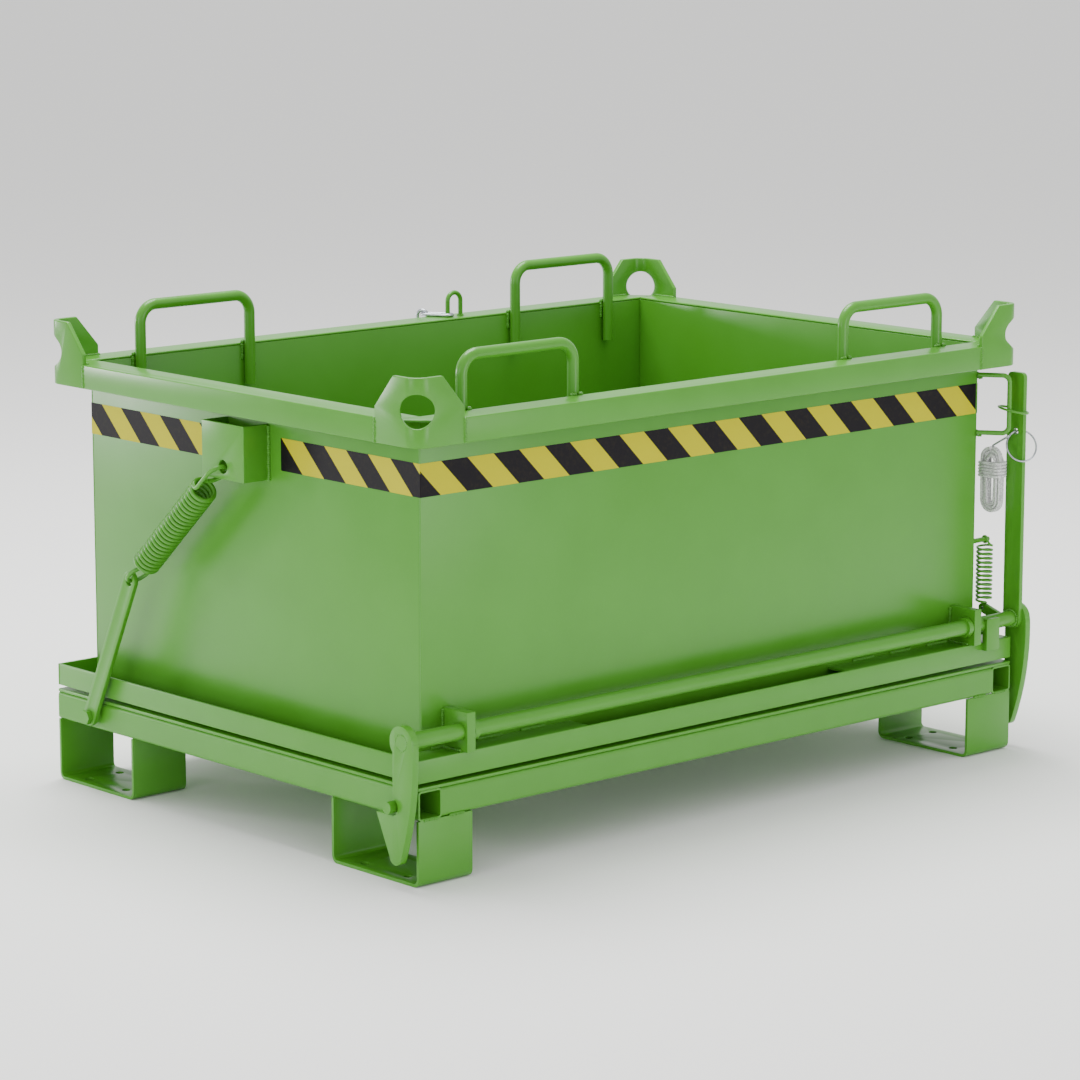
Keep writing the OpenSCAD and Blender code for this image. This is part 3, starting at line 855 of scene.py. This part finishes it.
@dataclass
class RopeHank:
    """White pull cord wound to a small hank with binding turns round its waist, hung on the lever's ring."""

    finish: bpy.types.Material
    diameter: float = 5.0 * MM
    pitch: float = 5.25 * MM
    layers: int = 3
    laps: int = 3
    bindings: int = 5
    per_turn: int = 44
    squareness: float = 0.55
    press: float = 0.3 * MM
    waist_low: float = 4.0 * MM
    step: float = 2.2 * MM

    def racetrack(self, share: float, half: float, straight: float) -> tuple[float, float]:
        """Point on an upright loop with round ends.

        Args:
            share: Share of one lap, from 0 to 1, starting at the top.
            half: Half width of the loop.
            straight: Half length of its straight sides.

        Returns:
            Its place across and up.
        """
        arc = math.pi * half
        s = (share % 1.0) * (2 * arc + 4 * straight)
        if s < arc / 2:
            a = math.pi / 2 - s / half
            return half * math.cos(a), straight + half * math.sin(a)
        s -= arc / 2
        if s < 2 * straight:
            return half, straight - s
        s -= 2 * straight
        if s < arc:
            a = -s / half
            return half * math.cos(a), -straight + half * math.sin(a)
        s -= arc
        if s < 2 * straight:
            return -half, -straight + s
        a = math.pi - (s - 2 * straight) / half
        return half * math.cos(a), straight + half * math.sin(a)

    def long_turns(self, half: float, straight: float) -> tuple[list[Vector], list[int]]:
        """Upright turns, wound from the outside inwards in as many laps as the hank has.

        Args:
            half: Half width of the outer turns' centre line.
            straight: Half length of their straight sides.

        Returns:
            The points about the hank's middle and the numbers of the points where a lap begins.
        """
        points: list[Vector] = []
        starts: list[int] = []
        spread = (self.layers - 1) / 2 * self.pitch
        for lap in range(self.laps):
            side = -1 if lap % 2 == 0 else 1
            steps = (self.layers if lap + 1 < self.laps else self.layers - 0.25) * self.per_turn
            starts.append(len(points))
            for i in range(int(steps)):
                y, z = self.racetrack(i / self.per_turn, half - lap * self.pitch, straight)
                x = side * spread * (1 - 2 * i / steps)
                points.append(Vector((x * (1 + 0.5 / self.layers), y, z)))
        return points, starts[1:]

    def binding_turns(self, half: float, depth: float, low: float, side: float) -> list[Vector]:
        """Level turns round the hank's waist, wound upwards.

        Args:
            half: Half width of the turns in Y.
            depth: Half width in X.
            low: Height of the first turn above the hank's middle.
            side: Side in X where it starts, 1 or -1.

        Returns:
            The points about the hank's middle.
        """
        points = []
        steps = self.bindings * self.per_turn
        for i in range(steps + 1):
            a = math.tau * i / self.per_turn
            u, v = math.cos(a), math.sin(a)
            points.append(Vector((side * depth * math.copysign(abs(u) ** self.squareness, u),
                                  half * math.copysign(abs(v) ** self.squareness, v),
                                  low + self.pitch * a / math.tau)))
        return points

    def build(self) -> None:
        low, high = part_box("rope_hank")
        centre = (low + high) / 2
        size = high - low
        gap = self.pitch
        half = size.y / 2 - self.diameter / 2 - gap
        straight = size.z / 2 - self.diameter / 2 - half
        points, corners = self.long_turns(half, straight)
        last = points[-1]
        side = math.copysign(1.0, last.x)
        waist = self.binding_turns(half + gap, size.x / 2 - self.diameter / 2 - self.press,
                                   self.waist_low, side)
        ease = [last.lerp(waist[0], i / 10) for i in range(1, 10)]
        corners += [len(points) + 1, len(points) + 9]
        points = soften(points + ease + waist, corners, 5, 12)
        path = [centre + p for p in even_steps(points, self.step)]
        piece = line_curve("pull_cord_hank", path, self.diameter, 2)
        piece.data.materials.append(self.finish)
        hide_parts("rope_hank")
        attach(piece, Body.ROPE.value)


# ---------------------------------------------------------------- studio


@dataclass(frozen=True)
class SoftLight:
    """One square soft light, aimed at the middle of the box. Its gloss scales its highlight."""

    name: str
    place: Point
    size: float
    power: float
    gloss: float = 1.0


@dataclass
class Studio:
    """Pale floor, soft lights and the camera."""

    soft_lights: ClassVar[tuple[SoftLight, ...]] = (
        # far and small, so bracket and spring throw a clear shadow on the left end
        SoftLight("key_left", (-4.65, 9.3, 1.16), 1.3, 330.0, 0.1),
        SoftLight("side_fill", (-5.6, -0.9, 1.4), 2.2, 62.0, 0.3),
        SoftLight("front_fill", (0.6, -4.4, 0.5), 1.6, 46.0, 0.5),
        SoftLight("top_bank", (0.2, 0.9, 4.2), 2.6, 300.0),
    )
    aim: ClassVar[Point] = (0, 0, 0.35)
    surround: float = 1.15

    target: Vector = field(default_factory=lambda: Vector((-0.3692, -0.403, 0.476)))
    azimuth: float = math.radians(-42.19)
    elevation: float = math.radians(10.57)
    distance: float = 5.8508
    lens_mm: float = 130.94
    floor_size: float = 60.0

    def camera(self) -> None:
        """Sets the camera on its line of sight, with no shift."""
        data = bpy.data.cameras.new("studio_camera")
        data.lens, data.sensor_width, data.clip_end = self.lens_mm, 36.0, 100.0
        camera = bpy.data.objects.new("studio_camera", data)
        bpy.context.scene.collection.objects.link(camera)
        back = Vector((math.sin(self.azimuth) * math.cos(self.elevation),
                       -math.cos(self.azimuth) * math.cos(self.elevation), math.sin(self.elevation)))
        camera.location = self.target + back * self.distance
        camera.rotation_euler = (-back).to_track_quat("-Z", "Y").to_euler()
        bpy.context.scene.camera = camera

    def floor(self, finish: bpy.types.Material) -> None:
        """Lays the floor just under the feet.

        Args:
            finish: Its material.
        """
        deselect()
        bpy.ops.mesh.primitive_plane_add(size=self.floor_size, location=(0, 0, -0.2 * MM))
        floor = settle(bpy.context.object, "studio_floor")
        floor.data.materials.append(finish)

    def hang(self, light: SoftLight) -> None:
        """Hangs one soft light and aims it.

        Args:
            light: Its name, place, size and power.
        """
        data = bpy.data.lights.new(light.name, "AREA")
        data.shape, data.size = "SQUARE", light.size
        data.energy, data.specular_factor = light.power, light.gloss
        lamp = bpy.data.objects.new(light.name, data)
        bpy.context.scene.collection.objects.link(lamp)
        lamp.location = light.place
        lamp.rotation_euler = (Vector(self.aim) - lamp.location).to_track_quat("-Z", "Y").to_euler()

    def lights(self) -> None:
        """Hangs the key, fill and top lights and sets an even surround."""
        for light in self.soft_lights:
            self.hang(light)
        world = bpy.data.worlds.new("studio_surround")
        world.use_nodes = True
        background = world.node_tree.nodes["Background"]
        background.inputs["Color"].default_value = linear("ffffff")
        background.inputs["Strength"].default_value = self.surround
        bpy.context.scene.world = world


# ---------------------------------------------------------------- welds of each sub-assembly


def corners() -> list[tuple[int, int, str]]:
    """The four corners of the box as signs along X and Y, with their names."""
    return [(-1, -1, "front_left"), (1, -1, "front_right"), (-1, 1, "back_left"), (1, 1, "back_right")]


@dataclass(frozen=True)
class ContainerWelds:
    """Welds on the box. Sizes are in millimetres."""

    plate: float = 8.0
    clip: float = 47.0
    lug_bead: float = 6.5
    handle_bead: float = 7.0
    handle_drop: float = 26.0
    bearing_t: float = 16.0
    bearing_run: float = 40.0
    stitch: float = 46.0
    stitch_pitch: float = 88.0

    def lug(self, seams: WeldSeams, sx: int, sy: int, corner: str, foot: float, top: float) -> None:
        """Welds one corner plate down its two ends and along the rim inside it.

        Args:
            seams: Welds of the whole object.
            sx: Side of the box along X, 1 or -1.
            sy: Side of the box along Y, 1 or -1.
            corner: Name of the corner.
            foot: Height of the rim's lower edge.
            top: Height of the rim's top.
        """
        low, high = box_mm("lug_" + corner)
        out_x = low.x if sx < 0 else high.x
        out_y = low.y if sy < 0 else high.y
        wing = high.x - low.x
        end_x, end_y = out_x - sx * wing, out_y - sy * wing
        in_x, in_y = out_x - sx * (self.plate + 1), out_y - sy * (self.plate + 1)
        near_x, near_y = out_x - sx * 1.5, out_y - sy * 1.5
        seams.lay(Body.CONTAINER, [(end_x, near_y, foot + 2), (end_x, near_y, top)], self.lug_bead)
        seams.lay(Body.CONTAINER, [(near_x, end_y, foot + 2), (near_x, end_y, top)], self.lug_bead)
        seams.lay(Body.CONTAINER, [(end_x, in_y, top), (out_x - sx * self.clip, in_y, top)])
        seams.lay(Body.CONTAINER, [(in_x, end_y, top), (in_x, out_y - sy * self.clip, top)])

    def handle(self, seams: WeldSeams, sy: int, corner: str, top: float) -> None:
        """Welds both legs of one handle to the wall and the rim.

        Args:
            seams: Welds of the whole object.
            sy: Side of the box along Y, 1 or -1.
            corner: Name of the corner.
            top: Height of the rim's top.
        """
        low, high = box_mm("handle_" + corner)
        bar = high.y - low.y
        y_mid = (low.y + high.y) / 2
        for leg in (low.x + bar / 2, high.x - bar / 2):
            for side in (-1, 1):
                x = leg + side * bar * 0.52
                at_wall, at_rim = y_mid + sy * bar * 0.5, y_mid + sy * bar * 0.45
                seams.lay(Body.CONTAINER, [(x, at_wall, top - self.handle_drop), (x, at_rim, top - 1)],
                          self.handle_bead)
                seams.lay(Body.CONTAINER, [(x, at_rim, top + 1),
                                           (leg + side * 2, y_mid + sy * bar * 0.6, top + 2)],
                          self.handle_bead)

    def brackets(self, seams: WeldSeams) -> None:
        """Welds the spring brackets to the end walls.

        Args:
            seams: Welds of the whole object.
        """
        for side, s in (("left", -1), ("right", 1)):
            low, high = box_mm("bracket_" + side)
            x = (high.x if s < 0 else low.x) + s * 1.5
            for y in (low.y - 1, high.y + 1):
                seams.lay(Body.CONTAINER, [(x, y, low.z + 1), (x, y, high.z - 1)], self.lug_bead)

    def bearings(self, seams: WeldSeams) -> None:
        """Welds the latch shaft's bearing plates to the front wall and the frame.

        Args:
            seams: Welds of the whole object.
        """
        low, high = box_mm("bearing_plates")
        for x in (low.x, low.x + self.bearing_t, high.x - self.bearing_t, high.x):
            at = x + (-1 if x in (low.x, high.x - self.bearing_t) else 1)
            seams.lay(Body.CONTAINER, [(at, high.y - 1, low.z), (at, high.y - 1, high.z - 2)])
            seams.lay(Body.CONTAINER, [(at, high.y - self.bearing_run, low.z + 1),
                                       (at, high.y - 2, low.z + 1)])

    def gutter(self, seams: WeldSeams) -> None:
        """Stitches the sloping gutter plate to the front wall in two stretches.

        Args:
            seams: Welds of the whole object.
        """
        low, high = box_mm("gutter_plates")
        for start, end in ((low.x + 60, low.x + 290), (high.x - 330, high.x - 70)):
            x = start
            while x + self.stitch < end:
                seams.lay(Body.CONTAINER, [(x, high.y - 1.5, high.z + 1),
                                           (x + self.stitch, high.y - 1.5, high.z + 1)])
                x += self.stitch_pitch

    def guide_and_eye(self, seams: WeldSeams, top: float) -> None:
        """Welds the lever's guide bar to the right wall and the chain's eye to the back rim.

        Args:
            seams: Welds of the whole object.
            top: Height of the rim's top.
        """
        low, high = box_mm("lever_guide")
        for z in (low.z + 4, high.z - 4):
            seams.lay(Body.CONTAINER, [(low.x + 4, high.y - 2, z - 5), (low.x + 4, high.y - 2, z + 5)], 5)
            seams.lay(Body.CONTAINER, [(low.x + 7, high.y - 8, z - 5), (low.x + 1, high.y - 8, z - 5)], 4)
        low, high = box_mm("chain_eye")
        for x in (low.x + 4, high.x - 4):
            seams.ring(Body.CONTAINER, (x, (low.y + high.y) / 2, top + 0.5), 4.4, "Z", 3.5)

    def lay(self, seams: WeldSeams) -> None:
        """Lays every weld of the box.

        Args:
            seams: Welds of the whole object.
        """
        rim_low, rim_high = box_mm("rim_front")
        for sx, sy, corner in corners():
            self.lug(seams, sx, sy, corner, rim_low.z, rim_high.z)
            self.handle(seams, sy, corner, rim_high.z)
        self.brackets(seams)
        self.bearings(seams)
        self.gutter(seams)
        self.guide_and_eye(seams, rim_high.z)


@dataclass(frozen=True)
class LatchWelds:
    """Welds on the latch. Sizes are in millimetres."""

    end_radius: float = 12.6
    collar_radius: float = 13.4

    def lay(self, seams: WeldSeams) -> None:
        """Welds the shaft's ends into the hooks and the lever to its hook.

        Args:
            seams: Welds of the whole object.
        """
        low, high = box_mm("latch_shaft")
        y_mid, z_mid = (low.y + high.y) / 2, (low.z + high.z) / 2
        left_low, left_high = box_mm("hook_left")
        seams.ring(Body.LATCH, (left_low.x + 1.6, y_mid, z_mid), self.end_radius, "X", 4.5)
        seams.ring(Body.LATCH, (left_high.x + 1.0, y_mid, z_mid), self.collar_radius, "X", 5)
        seams.ring(Body.LATCH, (box_mm("hook_right")[1].x - 1.6, y_mid, z_mid), self.end_radius, "X", 4.5)
        seams.ring(Body.LATCH, (box_mm("lever")[0].x - 1, y_mid, z_mid), self.collar_radius, "X", 5)


@dataclass(frozen=True)
class FlapWelds:
    """Welds on the floor flap. Sizes are in millimetres."""

    bead: float = 5.5
    starts: tuple[float, float] = (12.0, 62.0)
    stitch: float = 28.0
    pin_radius: float = 9.6

    def lay(self, seams: WeldSeams) -> None:
        """Stitches the feet to the tubes and welds the latch pins in.

        Args:
            seams: Welds of the whole object.
        """
        for sx, sy, corner in corners():
            low, high = box_mm("foot_" + corner)
            outer_y = (low.y if sy < 0 else high.y) - sy * 1
            inner_y = (high.y if sy < 0 else low.y) + sy * 2
            outer_x = low.x if sx < 0 else high.x
            for start in self.starts:
                seams.lay(Body.FLAP, [(outer_x - sx * start, outer_y, high.z + 0.5),
                                      (outer_x - sx * (start + self.stitch), outer_y, high.z + 0.5)],
                          self.bead)
            seams.lay(Body.FLAP, [(outer_x - sx * 3, inner_y, high.z - 1),
                                  (outer_x - sx * 42, inner_y, high.z - 1)], self.bead)
        low, high = box_mm("latch_pins")
        reach = abs(box_mm("tube_left")[0].x) + 0.8
        for s in (-1, 1):
            seams.ring(Body.FLAP, (s * reach, (low.y + high.y) / 2, (low.z + high.z) / 2),
                       self.pin_radius, "X", 4)


def main() -> None:
    """Builds every piece in order."""
    logging.basicConfig(level=logging.INFO, format="%(name)s: %(message)s")
    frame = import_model()
    studio = Studio()
    studio.camera()
    enamel = Enamel().make()
    tape, zinc, cord = HazardTape().make(), ZincPlate().make(), BraidedRope().make()
    RopeHank(cord).build()
    own_finish = {"tape_front_back": tape, "tape_sides": tape, "pull_ring": zinc, "chain": zinc}
    for name, finish in own_finish.items():
        data = frame["nodes"][name].data
        data.materials.clear()
        data.materials.append(finish)
    modelled = {"rope_hank", "return_coil", "spring_left", "spring_right", "spring_tail_left",
                "spring_tail_right"}
    LOG.info("painted %d nodes", PaintedSteel(frame, enamel).build(modelled | set(own_finish)))
    for side in ("left", "right"):
        ClosingSpring(side, enamel).build()
    ReturnSpring(enamel).build()
    seams = WeldSeams(enamel)
    seams.model_drop()
    for welds in (ContainerWelds(), LatchWelds(), FlapWelds()):
        welds.lay(seams)
    seams.finish_seams()
    studio.floor(StudioPaper().make())
    studio.lights()
    bpy.context.view_layer.update()


if __name__ == "__main__":
    main()
